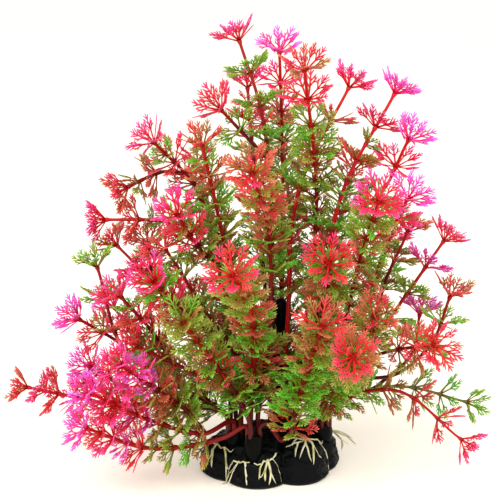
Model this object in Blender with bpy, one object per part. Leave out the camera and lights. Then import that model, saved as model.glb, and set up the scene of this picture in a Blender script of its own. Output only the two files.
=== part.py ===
"""Moulded-plastic hottonia for an aquarium: whorled sprigs rising from a black rock-like foot.

Units are metres, +Z is up and the front of the plant faces -Y. The origin is the middle of the
rock's flat underside, which rests on the ground. Lengths below are written in millimetres and
turned to metres by MM.

The plant stands in a weighted rock. Three plugs sit in sockets in its top, a post stands behind
them, and every sprig is a stem that carries whorls of leaves. A sprig starts on a plug, round the
post, or on the side of another sprig, where a gap of a few tenths of a millimetre parts the two.
A whorl is a cupped star fused to its stem. Its arms end where the forked leaves end, and an arm
that would meet another sprig is cut short of it.
"""
import math

import bmesh
import bpy
import numpy as np
from mathutils import Vector
from mathutils.bvhtree import BVHTree

MM = 0.001
SEED = 7
UP = np.array([0.0, 0.0, 1.0])

# Driving dimensions in millimetres
PLANT_GAP = 0.35
ROCK_LOBES = (
    (-24, -1, 22, 25), (-8, -12, 23, 27), (20, -9, 20, 26),
    (33, 5, 14, 25), (-4, 9, 22, 28), (16, 9, 21, 28),
)
ROCK_FOOT_INSET = 0.94
ROCK_EDGE_HEIGHT = 4.0
ROCK_RIPPLE = 1.1
ROCK_AROUND = 22
ROCK_RINGS = (1.0, 0.95, 0.83, 0.58, 0.3)
PLUG_SIDES = 8
SOCKET_FLOOR = 13.0
STEM_FOOT_RADIUS = 1.5
STEM_STUB = 4.0
BARE_STEP = 40.0
BARE_TURN_DEG = 65.0
SHOOT_FOOT_RADIUS = 1.15
STEM_TIP_RADIUS = 0.85
LEAF_REACH = 20.0
NOTCH_REACH = 7.8
HUB_HALF_HEIGHT = 0.9
ARMS = 7
ARM_SHARES = (1.0, 0.86, 0.73, 0.6, 0.48, 0.37, 0.27, 0.2)
CUP_DEG = 30.0
TIP_CUP_DEG = 46.0
FLOOR_CLEARANCE = 1.5
ROOT_WIDTH = 1.3
ROOT_THICKNESS = 0.8
ROOT_STANCE = 1.7
ROOT_HUB = 2.7
ROOT_JOINTS = ((0.3, 1.0), (0.65, 0.8), (1.0, 0.0))

# Seats of the stems: centre, radius and top of each plug, then the radius of its ring of stems
PLUGS = {
    "plug_left": ((-22, -8), 7.2, 33.0, 4.9),
    "plug_front": ((-10, -25), 6.0, 36.0, 3.9),
    "plug_right": ((35, 4), 7.6, 32.0, 5.4),
}
POST_PLACE = (8, 13)
POST_FOOT_TOP = 33.0
POST_PROFILE = (
    (8.6, 15.0), (8.6, POST_FOOT_TOP - 0.4), (2.7, POST_FOOT_TOP),
    (2.2, 92.0), (4.4, 99.0), (4.0, 112.0), (1.6, 115.0),
)
POST_SEAT_RING = 6.1

# Each sprig: where it starts, the points its stem passes on the way to its tip, then its whorls
# and their pitch. A start is a seat with its bearing in degrees, or a sprig with the share of
# its length where the fork is.
SPRIGS = {
    "crown_1": (("post", 244), ((2, 8, 110), (0, 2, 205), (-5, 8, 240), (-19, 22, 283)), 6, 22),
    "crown_2": (("post", 100), ((9, 36, 110), (9, 41, 198), (6, 9, 278)), 5, 23),
    "crown_3": (("post", 316), ((24, 10, 100), (30, 4, 180), (20, -42, 276)), 5, 22),
    "crown_4": (("post", 280), ((12, 4, 100), (20, 4, 196), (50, 18, 254)), 6, 24),
    "crown_5": (("plug_right", 180), ((34, -4, 110), (46, -4, 192), (78, 8, 252)), 6, 24),
    "crown_6": (("post", 136), ((-2, 32, 110), (-10, 45, 197), (-14, 58, 246)), 3, 22),
    "crown_7": (("crown_1", 0.70), ((-16, 0, 228), (-30, -8, 245)), 2, 20),
    "crown_8": (("plug_left", 40), ((-20, -8, 110), (-32, -22, 181), (-41, -34, 228)), 5, 21),
    "crown_9": (("crown_5", 0.62), ((66, 8, 183), (86, -8, 226)), 2, 22),
    "crown_10": (("plug_right", 225), ((46, -14, 100), (58, -30, 163), (64, -62, 201)), 5, 21),
    "crown_11": (("plug_front", 50), ((-1, -32, 100), (-1, -42, 177), (-11, -77, 222)), 5, 22),
    "right_1": (("crown_5", 0.50), ((66, -6, 162), (85, -26, 193)), 2, 21),
    "right_2": (("plug_right", 85), ((54, 26, 90), (76, 40, 135), (86, 46, 158)), 4, 22),
    "right_3": (("right_4", 0.45), ((74, 24, 112), (91, 28, 156)), 3, 21),
    "right_4": (("plug_right", 355), ((62, 13, 74), (91, 20, 116), (115, 30, 149)), 4, 21),
    "right_5": (("right_4", 0.22), ((84, 8, 64), (107, 12, 84), (118, 10, 117)), 3, 20),
    "right_6": (("right_4", 0.33), ((80, -16, 90), (101, -52, 107)), 3, 20),
    "right_7": (("right_8", 0.42), ((97, 28, 72), (101, 30, 98)), 2, 19),
    "right_8": (("plug_right", 40), ((60, 20, 46), (90, 31, 46), (136, 40, 31)), 4, 20),
    "right_9": (("plug_right", 315), ((54, -6, 54), (80, -12, 61), (125, -18, 29)), 4, 21),
    "right_10": (("crown_10", 0.30), ((60, -34, 104), (63, -58, 127)), 2, 20),
    "right_11": (("plug_right", 270), ((38, -22, 60), (47, -50, 88), (48, -98, 117)), 4, 21),
    "right_12": (("crown_5", 0.33), ((36, -26, 132), (35, -58, 162)), 2, 20),
    "front_1": (
        ("plug_front", 350),
        ((-2, -27, 44), (3, -28, 39), (7, -31, 34), (12, -36, 39), (16, -46, 60), (30, -84, 130)), 5, 21,
    ),
    "front_2": (("plug_front", 120), ((-10, -38, 88), (-11, -62, 130), (-22, -98, 167)), 5, 22),
    "front_3": (("plug_front", 240), ((-17, -34, 58), (-30, -42, 84), (-52, -74, 129)), 4, 22),
    "front_4": (("plug_left", 310), ((-16, -16, 73), (-41, -20, 118), (-65, -26, 161)), 5, 23),
    "left_1": (("crown_8", 0.55), ((-42, -22, 158), (-56, -42, 187)), 2, 21),
    "left_2": (("plug_left", 130), ((-30, 8, 120), (-47, 14, 190), (-72, -6, 224)), 5, 22),
    "left_3": (("left_2", 0.80), ((-68, 16, 200), (-90, 8, 192)), 2, 21),
    "left_4": (("left_2", 0.60), ((-72, 4, 171), (-104, 2, 172)), 3, 21),
    "left_7": (("plug_left", 217), ((-56, -8, 60), (-92, -14, 88), (-109, -14, 145)), 4, 22),
    "left_9": (("left_7", 0.28), ((-72, -28, 104), (-92, -40, 134)), 3, 21),
    "left_10": (("front_4", 0.48), ((-54, -36, 124), (-70, -56, 149)), 2, 20),
    "left_11": (("left_7", 0.42), ((-100, 2, 90), (-122, -8, 108)), 2, 20),
    "left_12": (("back_4", 0.55), ((-76, 34, 118), (-79, 26, 148)), 2, 20),
    "left_13": (("front_4", 0.20), ((-54, -32, 84), (-82, -42, 102)), 2, 20),
    "left_14": (("left_16", 0.25), ((-54, -32, 56), (-66, -42, 70), (-90, -66, 98)), 3, 19),
    "left_15": (("plug_left", 175), ((-58, 8, 42), (-102, 10, 42), (-160, 12, 53)), 4, 21),
    "left_16": (("plug_left", 262), ((-42, -30, 38), (-76, -36, 50), (-109, -64, 79)), 4, 21),
    "left_17": (
        ("plug_front", 183), ((-28, -28, 35), (-46, -31, 31), (-77, -39, 32), (-114, -56, 53)), 4, 21,
    ),
    "left_18": (("left_15", 0.55), ((-106, 20, 56), (-117, 10, 68)), 2, 18),
    "back_1": (("post", 64), ((14, 42, 100), (14, 62, 165), (8, 86, 215)), 4, 25),
    "back_2": (("post", 208), ((-14, 36, 100), (-36, 58, 150), (-48, 80, 190)), 4, 25),
    "back_3": (("post", 352), ((32, 38, 90), (44, 56, 140), (58, 78, 185)), 3, 25),
    "back_4": (("plug_left", 85), ((-42, 24, 75), (-72, 44, 110), (-102, 56, 138)), 3, 22),
    "back_5": (("plug_right", 130), ((50, 44, 70), (70, 66, 95), (84, 88, 130)), 3, 23),
    "back_6": (("post", 172), ((-20, 48, 50), (-36, 78, 62), (-50, 104, 82)), 3, 22),
    "back_7": (("post", 28), ((26, 48, 48), (34, 80, 58), (42, 106, 78)), 3, 22),
    "back_8": (("left_15", 0.20), ((-62, 34, 50), (-84, 58, 60), (-108, 84, 84)), 3, 22),
}

# Root tufts: where each grows, its lift above the rock, how steeply its fingers fall, then their
# bearings in degrees, in order round the tuft, and lengths
ROOT_TUFTS = {
    "roots_left": ((-34, -11), 1.7, 1.7, ((140, 9), (215, 5), (318, 11))),
    "roots_front": ((-19.5, -28), 1.7, 1.7, ((150, 9), (184, 6), (325, 5))),
    "roots_middle": ((-1, -29.5), 1.7, 1.7, ((205, 6), (248, 4), (300, 5), (20, 6))),
    "roots_right": ((24, -12), 1.7, 1.7, ((22, 13), (150, 9), (196, 10), (230, 11), (265, 10), (300, 10))),
    "roots_side": ((42, 12), 6.0, 0.45, ((320, 13), (355, 14), (35, 11))),
}

# Colours as seen, from dark to bright, for the sprigs by where they grow
LEAF_COLOURS = {
    "crown": (0.50, 0.20, 0.10),
    "right": (0.60, 0.12, 0.08),
    "front": (0.16, 0.36, 0.05),
    "left": (0.80, 0.08, 0.16),
    "back": (0.30, 0.26, 0.06),
}
ROCK_COLOUR = (0.006, 0.010, 0.012)
PLUG_COLOUR = (0.008, 0.009, 0.009)
ROOT_COLOUR = (0.60, 0.58, 0.36)


def unit(vector):
    """The vector scaled to length one."""
    return vector / np.linalg.norm(vector)


def bearing(degrees):
    """A level unit vector, 0 degrees along +X and 90 along +Y."""
    angle = math.radians(degrees)
    return np.array([math.cos(angle), math.sin(angle), 0.0])


def material(name, colour, roughness):
    """A plain plastic or resin finish."""
    made = bpy.data.materials.new(name)
    made.use_nodes = True
    shader = made.node_tree.nodes["Principled BSDF"]
    shader.inputs["Base Color"].default_value = (*colour, 1.0)
    shader.inputs["Roughness"].default_value = roughness
    shader.inputs["Metallic"].default_value = 0.0
    return made


def add_object(name, points, faces, finish):
    """One closed solid, from points in millimetres, with its faces turned outwards."""
    mesh = bpy.data.meshes.new(name)
    mesh.from_pydata([Vector(p) * MM for p in points], [], faces)
    work = bmesh.new()
    work.from_mesh(mesh)
    bmesh.ops.triangulate(work, faces=work.faces)
    bmesh.ops.recalc_face_normals(work, faces=work.faces)
    if work.calc_volume(signed=True) < 0.0:
        bmesh.ops.reverse_faces(work, faces=work.faces)
    work.to_mesh(mesh)
    work.free()
    mesh.materials.append(finish)
    made = bpy.data.objects.new(name, mesh)
    bpy.context.scene.collection.objects.link(made)
    return made


def tree_of(points, faces):
    """A search tree of one shape, in millimetres."""
    return BVHTree.FromPolygons([Vector(p) for p in points], faces)


def rock_top(x, y):
    """Height of the rock: the highest of its lobes, each a steep round loaf, with low ripples."""
    best = 0.0
    for centre_x, centre_y, radius, height in ROCK_LOBES:
        away = math.hypot(x - centre_x, y - centre_y) / radius
        if away < 1.0:
            ripple = ROCK_RIPPLE * math.sin(x / 4.1) * math.sin(y / 3.7) * (1.0 - away)
            best = max(best, height * (1.0 - away ** 3.2) ** 0.55 + ripple)
    return best


def rock_reach(direction):
    """Distance from the origin to the rock's edge: the furthest lobe edge along that bearing."""
    reach = 0.0
    for centre_x, centre_y, radius, _ in ROCK_LOBES:
        along = centre_x * direction[0] + centre_y * direction[1]
        across = centre_x * direction[1] - centre_y * direction[0]
        if abs(across) < radius:
            reach = max(reach, along + math.sqrt(radius ** 2 - across ** 2))
    return reach


def rock_shape():
    """Points and faces of the rock: rings from the flat underside up to a middle point."""
    points = []
    for share in (ROCK_FOOT_INSET, *ROCK_RINGS):
        for step in range(ROCK_AROUND):
            direction = bearing(360.0 * step / ROCK_AROUND)
            spot = direction * rock_reach(direction) * share
            if share != ROCK_FOOT_INSET:
                spot[2] = max(rock_top(spot[0], spot[1]), ROCK_EDGE_HEIGHT)
            points.append(spot)
    rings = len(points) // ROCK_AROUND
    faces = [tuple(range(ROCK_AROUND - 1, -1, -1))]
    for ring in range(rings - 1):
        for step in range(ROCK_AROUND):
            low = ring * ROCK_AROUND + step
            low_next = ring * ROCK_AROUND + (step + 1) % ROCK_AROUND
            faces.append((low, low_next, low_next + ROCK_AROUND, low + ROCK_AROUND))
    points.append(np.array([0.0, 0.0, rock_top(0.0, 0.0)]))
    last = (rings - 1) * ROCK_AROUND
    for step in range(ROCK_AROUND):
        faces.append((last + step, last + (step + 1) % ROCK_AROUND, len(points) - 1))
    return points, faces


def turned(place, profile, sides):
    """Points and faces of a turned solid, from (radius, height) pairs going up its side."""
    points = []
    for radius, height in profile:
        for step in range(sides):
            spot = bearing(360.0 * (step + 0.5) / sides) * radius
            points.append(np.array([place[0], place[1], 0.0]) + spot + UP * height)
    faces = [tuple(range(sides - 1, -1, -1))]
    for ring in range(len(profile) - 1):
        for step in range(sides):
            low = ring * sides + step
            low_next = ring * sides + (step + 1) % sides
            faces.append((low, low_next, low_next + sides, low + sides))
    faces.append(tuple(range((len(profile) - 1) * sides, len(profile) * sides)))
    return points, faces


def plug_profile(radius, top, bottom, growth):
    """A plug's side: straight in its socket, then drawn in to its top. growth widens it."""
    wide = radius + growth
    return ((wide, bottom - growth), (wide, top - 6.0), (0.86 * radius + growth, top + 2 * growth))


def post_profile(growth):
    """The post's side, widened by growth."""
    lowest = POST_PROFILE[0][1]
    return tuple((radius + growth, height - growth * (height == lowest)) for radius, height in POST_PROFILE)


def cut_socket(rock, name, place, profile):
    """Sinks a hole of that turned shape in the rock."""
    points, faces = turned(place, profile, PLUG_SIDES)
    cutter = add_object(name, points, faces, rock.data.materials[0])
    cutter.hide_render = True
    cutter.display_type = "WIRE"
    cut = rock.modifiers.new(name, "BOOLEAN")
    cut.operation = "DIFFERENCE"
    cut.object = cutter


def smooth_path(knots, steps=14):
    """Points along a curve through the knots, with the distance along it.

    Each stretch is a cubic. Its slope at a knot is the mean of the straight runs on both sides,
    where the shorter run counts for more, so that a short stub before a long run stays straight.
    """
    runs = [after - before for before, after in zip(knots, knots[1:])]
    lengths = [float(np.linalg.norm(run)) for run in runs]
    slopes = [runs[0] / lengths[0]]
    for i in range(1, len(runs)):
        near, far = lengths[i - 1], lengths[i]
        slopes.append((runs[i - 1] / near * far + runs[i] / far * near) / (near + far))
    slopes.append(runs[-1] / lengths[-1])
    share = np.linspace(0.0, 1.0, steps, endpoint=False)[:, None]
    stretches = []
    for start, run, length, first, last in zip(knots, runs, lengths, slopes, slopes[1:]):
        first, last = first * length, last * length
        stretches.append(start + first * share + (3 * run - 2 * first - last) * share ** 2
                         + (first + last - 2 * run) * share ** 3)
    line = np.vstack([*stretches, knots[-1][None, :]])
    along = np.concatenate([[0.0], np.cumsum(np.linalg.norm(np.diff(line, axis=0), axis=1))])
    return line, along


def at_distance(path, distance):
    """The place on a path at that distance from its foot, and the direction there."""
    line, along = path
    place = np.array([np.interp(distance, along, line[:, axis]) for axis in range(3)])
    near = np.array([np.interp(distance - 1.5, along, line[:, axis]) for axis in range(3)])
    far = np.array([np.interp(distance + 1.5, along, line[:, axis]) for axis in range(3)])
    return place, unit(far - near)


def whorl_distances(path, count, pitch):
    """Distances of a sprig's whorls from its foot, the last one at its tip."""
    return [path[1][-1] - pitch * (count - 1 - index) for index in range(count)]


def stations(path, count, pitch):
    """Distances where a stem has a ring or a whorl: its foot, its bare length, then each whorl.

    Length and turning both use up a bare step, so the rings lie closer where the stem bends.
    """
    whorls = whorl_distances(path, count, pitch)
    places = np.linspace(0.0, whorls[0], 60)
    headings = [at_distance(path, place)[1] for place in places]
    turns = [math.degrees(math.acos(min(float(a @ b), 1.0))) for a, b in zip(headings, headings[1:])]
    used = np.diff(places) / BARE_STEP + np.array(turns) / BARE_TURN_DEG
    used = np.concatenate([[0.0], np.cumsum(used)])
    steps = max(1, math.ceil(used[-1]))
    return [float(np.interp(used[-1] * step / steps, used, places)) for step in range(steps)] + whorls


def chord_point(path, distances, distance):
    """The place and direction at a distance on the straight runs between a stem's stations."""
    later = next(i for i, station in enumerate(distances) if station >= distance)
    start = at_distance(path, distances[later - 1])[0]
    end = at_distance(path, distances[later])[0]
    share = (distance - distances[later - 1]) / (distances[later] - distances[later - 1])
    return start + (end - start) * share, unit(end - start)


def fork_distance(path, count, pitch, share):
    """A fork's distance along its parent, moved to the middle between two whorls."""
    wanted = share * path[1][-1]
    middles = [distance - pitch / 2 for distance in whorl_distances(path, count, pitch)]
    if wanted < middles[0]:
        return wanted
    return min(middles, key=lambda middle: abs(middle - wanted))


def stem_radius(path, distance, thick):
    """A stem tapers evenly from its foot to its tip."""
    share = min(max(distance / path[1][-1], 0.0), 1.0)
    return thick + (STEM_TIP_RADIUS - thick) * share


def seat_point(seat, angle):
    """Where a stem stands on the ring of a plug, or on the post's foot."""
    if seat == "post":
        centre, ring, top = POST_PLACE, POST_SEAT_RING, POST_FOOT_TOP
    else:
        centre, _, top, ring = PLUGS[seat]
    return np.array([centre[0], centre[1], top + 2 * PLANT_GAP]) + bearing(angle) * ring


def lay_out_paths():
    """The path and foot radius of every sprig. A fork starts just off its parent's side."""
    paths = {}
    waiting = dict(SPRIGS)
    while waiting:
        for name in [n for n in waiting if waiting[n][0][0] in (*PLUGS, "post", *paths)]:
            (start, where), way, _, _ = waiting.pop(name)
            knots = [np.array(point, float) for point in way]
            if start in paths:
                parent, parent_thick = paths[start]
                distance = fork_distance(parent, SPRIGS[start][2], SPRIGS[start][3], where)
                foot, direction = chord_point(parent, stations(parent, *SPRIGS[start][2:]), distance)
                leaving = unit(knots[0] - foot)
                slant = max(abs(float(leaving @ direction)), 0.0)
                sine = max(math.sqrt(1.0 - slant ** 2), 0.35)
                clear = stem_radius(parent, distance, parent_thick) + PLANT_GAP
                foot = foot + leaving * (clear + SHOOT_FOOT_RADIUS * slant) / sine
                thick = SHOOT_FOOT_RADIUS
            else:
                foot = seat_point(start, where)
                knots.insert(0, foot + UP * STEM_STUB)
                thick = STEM_FOOT_RADIUS
            paths[name] = (smooth_path([foot, *knots]), thick)
    return paths


def carried_sides(path, distances):
    """A sideways unit vector at each distance, carried along the stem without twisting."""
    _, direction = at_distance(path, distances[0])
    side = unit(np.cross(direction, [0.31, 0.87, -0.38]))
    sides = []
    for distance in distances:
        _, direction = at_distance(path, distance)
        side = unit(side - direction * float(side @ direction))
        sides.append(side)
    return sides


def ring_points(place, direction, side, radius, turn, count=4):
    """A ring of points round a stem, the first one turned from the carried side."""
    other = np.cross(direction, side)
    angles = [turn + 2 * math.pi * step / count for step in range(count)]
    return [place + radius * (math.cos(a) * side + math.sin(a) * other) for a in angles]


class Whorl:
    """A cupped star of arms. reach holds each arm's share of its full length."""

    def __init__(self, sprig, place, direction, side, radius, turn, cup, size):
        self.sprig = sprig
        self.place = place
        self.direction = direction
        self.side = side
        self.radius = radius
        self.turn = turn
        self.cup = cup
        self.size = size
        self.reach = [1.0] * ARMS

    def ray(self, step):
        """Unit vector of arm number step, where a half step is the notch after that arm."""
        angle = self.turn + 2 * math.pi * step / ARMS
        other = np.cross(self.direction, self.side)
        out = math.cos(angle) * self.side + math.sin(angle) * other
        return math.cos(self.cup) * out + math.sin(self.cup) * self.direction

    def held_up(self, point):
        """The point, lifted where it would come too near the ground."""
        return np.array([point[0], point[1], max(point[2], FLOOR_CLEARANCE)])

    def tip(self, arm, extra=0.0):
        """The end of an arm."""
        length = LEAF_REACH * self.size * self.reach[arm % ARMS] + extra
        return self.held_up(self.place + self.ray(arm) * length)

    def notch(self, arm):
        """The notch between an arm and the next, drawn in beside a short arm."""
        shorter = min(self.reach[arm % ARMS], self.reach[(arm + 1) % ARMS])
        length = min(NOTCH_REACH, 0.6 * LEAF_REACH * shorter) * self.size
        return self.held_up(self.place + self.ray(arm + 0.5) * length)

    def outline(self):
        """The star's sharp edge: notches and tips in turn."""
        edge = []
        for arm in range(ARMS):
            edge.append(self.notch(arm - 1))
            edge.append(self.tip(arm))
        return edge

    def arm_probe(self, arm):
        """A blunt box round one arm, wider than it by the plant's gap, for finding clashes."""
        length = LEAF_REACH * self.size * self.reach[arm]
        inner = min(NOTCH_REACH * self.size, 0.6 * length)
        corners = [
            self.place,
            self.held_up(self.place + self.ray(arm - 0.55) * (inner + PLANT_GAP)),
            self.tip(arm, PLANT_GAP * 1.5),
            self.held_up(self.place + self.ray(arm + 0.55) * (inner + PLANT_GAP)),
        ]
        lifts = (HUB_HALF_HEIGHT + PLANT_GAP, 0.75, PLANT_GAP, 0.75)
        top = [c + self.direction * lift for c, lift in zip(corners, lifts)]
        low = [c - self.direction * lift for c, lift in zip(corners, lifts)]
        faces = [(0, 1, 2), (0, 2, 3), (4, 6, 5), (4, 7, 6)]
        for corner in range(4):
            after = (corner + 1) % 4
            faces.append((corner, corner + 4, after + 4, after))
        return tree_of(top + low, faces)

    def star(self):
        """Points and faces of the star alone, its hub as two rings."""
        above = ring_points(self.place + self.direction * HUB_HALF_HEIGHT, self.direction,
                            self.side, self.radius, self.turn)
        below = ring_points(self.place - self.direction * HUB_HALF_HEIGHT, self.direction,
                            self.side, self.radius, self.turn)
        edge = self.outline()
        points = below + edge + above
        last = len(points) - 4
        low_ring = list(range(4))
        edge_ring = list(range(4, last))
        top_ring = list(range(last, last + 4))
        return points, stitch(low_ring, edge_ring) + stitch(edge_ring, top_ring)


def stitch(first, second):
    """Triangles between two closed rings of different counts, stepping round both together."""
    faces = []
    a = b = 0
    while a < len(first) or b < len(second):
        here, there = first[a % len(first)], second[b % len(second)]
        if (a + 1) * len(second) <= (b + 1) * len(first) and a < len(first):
            faces.append((here, first[(a + 1) % len(first)], there))
            a += 1
        else:
            faces.append((here, second[(b + 1) % len(second)], there))
            b += 1
    return faces


def grow_whorls(paths):
    """Every whorl of every sprig, in the sprigs' order, with seeded turns and sizes."""
    chance = np.random.default_rng(SEED)
    whorls = {}
    for name, (_, _, count, pitch) in SPRIGS.items():
        path, thick = paths[name]
        distances = stations(path, count, pitch)
        sides = carried_sides(path, distances)[-count:]
        whorls[name] = []
        for index, (distance, side) in enumerate(zip(distances[-count:], sides)):
            place, direction = at_distance(path, distance)
            turn = chance.uniform(-0.25, 0.25) + index * math.pi / 4
            size = chance.uniform(0.93, 1.05)
            cup = math.radians(TIP_CUP_DEG if index == count - 1 else CUP_DEG)
            radius = stem_radius(path, distance, thick)
            whorls[name].append(Whorl(name, place, direction, side, radius, turn, cup, size))
    return whorls


def stem_shape(path, thick, distances):
    """Points and faces of a bare round stem through its stations, for finding clashes."""
    steps = len(distances) - 1
    sides = 8
    points = []
    for distance, side in zip(distances, carried_sides(path, distances)):
        place, direction = at_distance(path, distance)
        radius = stem_radius(path, distance, thick) + 1.2 * PLANT_GAP
        points += ring_points(place, direction, side, radius, 0.0, sides)
    faces = []
    for ring in range(steps):
        for corner in range(sides):
            low = ring * sides + corner
            low_next = ring * sides + (corner + 1) % sides
            faces.append((low, low_next, low_next + sides, low + sides))
    return points, faces


def shorten_arms(whorls, paths, fixed):
    """Cuts arms back until none meets another sprig, the rock, a plug or the post.

    The outermost whorls are settled first, so that the plant keeps its full outline. The middle
    of every whorl is kept clear from the start.
    """
    stems = {
        name: tree_of(*stem_shape(path, thick, stations(path, *SPRIGS[name][2:])))
        for name, (path, thick) in paths.items()
    }
    every = [whorl for sprig in whorls.values() for whorl in sprig]
    middle = np.array([0.0, 0.0, 120.0])
    every.sort(key=lambda whorl: -np.linalg.norm(whorl.place - middle))
    hubs = []
    for whorl in every:
        whorl.reach = [ARM_SHARES[-1]] * ARMS
        hubs.append((whorl, tree_of(*whorl.star())))
    settled = []
    for whorl in every:
        near = [tree for place, tree in settled
                if np.linalg.norm(place - whorl.place) < 2.3 * LEAF_REACH]
        near += [tree for other, tree in hubs if other.sprig != whorl.sprig
                 and np.linalg.norm(other.place - whorl.place) < 1.6 * LEAF_REACH]
        near += [tree for name, tree in stems.items() if name != whorl.sprig]
        near += fixed
        for arm in range(ARMS):
            for share in ARM_SHARES:
                whorl.reach[arm] = share
                probe = whorl.arm_probe(arm)
                if not any(probe.overlap(tree) for tree in near):
                    break
        settled.append((whorl.place, tree_of(*whorl.star())))


def sprig_shape(path, thick, whorls, distances):
    """Points and faces of a whole sprig: foot, bare stem, then star after star to its end."""
    bare = distances[:-len(whorls)]
    points = []
    faces = [(3, 2, 1, 0)]
    for distance, side in zip(bare, carried_sides(path, distances)):
        place, direction = at_distance(path, distance)
        points += ring_points(place, direction, side, stem_radius(path, distance, thick), whorls[0].turn)
    rings = [list(range(4 * step, 4 * step + 4)) for step in range(len(bare))]
    for whorl in whorls:
        star_points, star_faces = whorl.star()
        base = len(points)
        points += star_points
        faces += [tuple(index + base for index in face) for face in star_faces]
        low_ring = list(range(base, base + 4))
        rings.append(low_ring)
        for first, second in zip(rings, rings[1:]):
            shift = nearest_corner(points, first, second)
            turned_ring = second[shift:] + second[:shift]
            for low, high in ((0, 1), (1, 2), (2, 3), (3, 0)):
                faces.append((first[low], first[high], turned_ring[high], turned_ring[low]))
        rings = [list(range(len(points) - 4, len(points)))]
    faces.append(tuple(rings[0]))
    return points, faces


def nearest_corner(points, first, second):
    """Which corner of the second ring lies nearest along the stem to the first ring's corner 0."""
    middles = [np.mean([points[i] for i in ring], axis=0) for ring in (first, second)]
    axis = unit(middles[1] - middles[0])
    away = [points[i] - points[first[0]] for i in second]
    flat = [np.linalg.norm(v - axis * float(v @ axis)) for v in away]
    return int(np.argmin(flat))


def ground_under(rock_tree, x, y):
    """Height of the rock's highest point within a root's reach of that place."""
    heights = [0.0]
    for angle in range(0, 360, 45):
        spot = np.array([x, y, 0.0]) + bearing(angle) * ROOT_STANCE
        hit = rock_tree.ray_cast(Vector((spot[0], spot[1], 100.0)), Vector((0.0, 0.0, -1.0)))[0]
        if hit is not None:
            heights.append(hit[2])
    return max(heights)


def root_shape(place, lift, fall, fingers, rock_tree):
    """Points and faces of a root tuft: a small hub whose sides run out as flat pointed fingers.

    Each finger steps down over the rock a little above it, never steeper than the fall.
    """
    count = len(fingers)
    hub = np.array([place[0], place[1], ground_under(rock_tree, *place) + lift])
    ring = []
    for angle, _ in fingers:
        out = bearing(angle)
        across = np.cross(UP, out)
        ring += [out * ROOT_HUB - across * ROOT_WIDTH / 2, out * ROOT_HUB + across * ROOT_WIDTH / 2]
    points = [hub + spot + UP * ROOT_THICKNESS for spot in ring] + [hub + spot for spot in ring]
    faces = [tuple(range(2 * count)), tuple(range(4 * count - 1, 2 * count - 1, -1))]
    for finger, (angle, length) in enumerate(fingers):
        right, left = 2 * finger, 2 * finger + 1
        after = (left + 1) % (2 * count)
        faces.append((left, after, after + 2 * count, left + 2 * count))
        corners = [right, left, left + 2 * count, right + 2 * count]
        across = np.cross(UP, bearing(angle))
        for share, narrow in ROOT_JOINTS:
            spot = hub + bearing(angle) * (ROOT_HUB + length * share)
            wanted = ground_under(rock_tree, spot[0], spot[1]) + ROOT_STANCE
            spot[2] = max(wanted, hub[2] - length * share * fall, FLOOR_CLEARANCE)
            if narrow == 0.0:
                points.append(spot)
                faces += [(corners[c], corners[(c + 1) % 4], len(points) - 1) for c in range(4)]
            else:
                half = across * ROOT_WIDTH / 2 * narrow
                base = len(points)
                points += [spot - half + UP * ROOT_THICKNESS, spot + half + UP * ROOT_THICKNESS]
                points += [spot + half, spot - half]
                new = [base, base + 1, base + 2, base + 3]
                faces += [(corners[c], corners[(c + 1) % 4], new[(c + 1) % 4], new[c]) for c in range(4)]
                corners = new
    return points, faces


def build():
    """Clears the scene and makes every piece."""
    for old in list(bpy.data.objects):
        bpy.data.objects.remove(old)
    rock_finish = material("black_resin", ROCK_COLOUR, 0.42)
    plug_finish = material("black_plastic", PLUG_COLOUR, 0.35)
    root_finish = material("cream_plastic", ROOT_COLOUR, 0.45)

    rock_points, rock_faces = rock_shape()
    rock = add_object("rock_base", rock_points, rock_faces, rock_finish)
    fixed = [tree_of(rock_points, rock_faces)]
    for name, (place, radius, top, _) in PLUGS.items():
        points, faces = turned(place, plug_profile(radius, top, SOCKET_FLOOR, 0.0), PLUG_SIDES)
        add_object(name, points, faces, plug_finish)
        with_gap = plug_profile(radius, top, SOCKET_FLOOR, PLANT_GAP)
        fixed.append(tree_of(*turned(place, with_gap, PLUG_SIDES)))
        cut_socket(rock, name + "_socket", place, with_gap)
    points, faces = turned(POST_PLACE, post_profile(0.0), PLUG_SIDES)
    add_object("centre_post", points, faces, plug_finish)
    fixed.append(tree_of(*turned(POST_PLACE, post_profile(PLANT_GAP), PLUG_SIDES)))
    cut_socket(rock, "centre_post_socket", POST_PLACE, post_profile(PLANT_GAP)[:3])

    for name, (place, lift, fall, fingers) in ROOT_TUFTS.items():
        points, faces = root_shape(place, lift, fall, fingers, fixed[0])
        add_object(name, points, faces, root_finish)
        fixed.append(tree_of(points, faces))

    paths = lay_out_paths()
    whorls = grow_whorls(paths)
    shorten_arms(whorls, paths, fixed)
    for name, (_, _, count, pitch) in SPRIGS.items():
        path, thick = paths[name]
        points, faces = sprig_shape(path, thick, whorls[name], stations(path, count, pitch))
        colour = LEAF_COLOURS[name.split("_")[0]]
        add_object(name, points, faces, material("leaf_" + name, colour, 0.45))


if __name__ == "__main__":
    build()
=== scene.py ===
"""Looks of the moulded-plastic hottonia: forked leaves, stems, roots and the black rock-like foot.

Lengths are in millimetres and turned to metres by MM when a mesh is made. The stems follow the
same way points as the solids do, so every piece lies on the solid that it stands for.
"""

import math

import bpy
import numpy as np
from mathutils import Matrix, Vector
from mathutils.bvhtree import BVHTree


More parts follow.
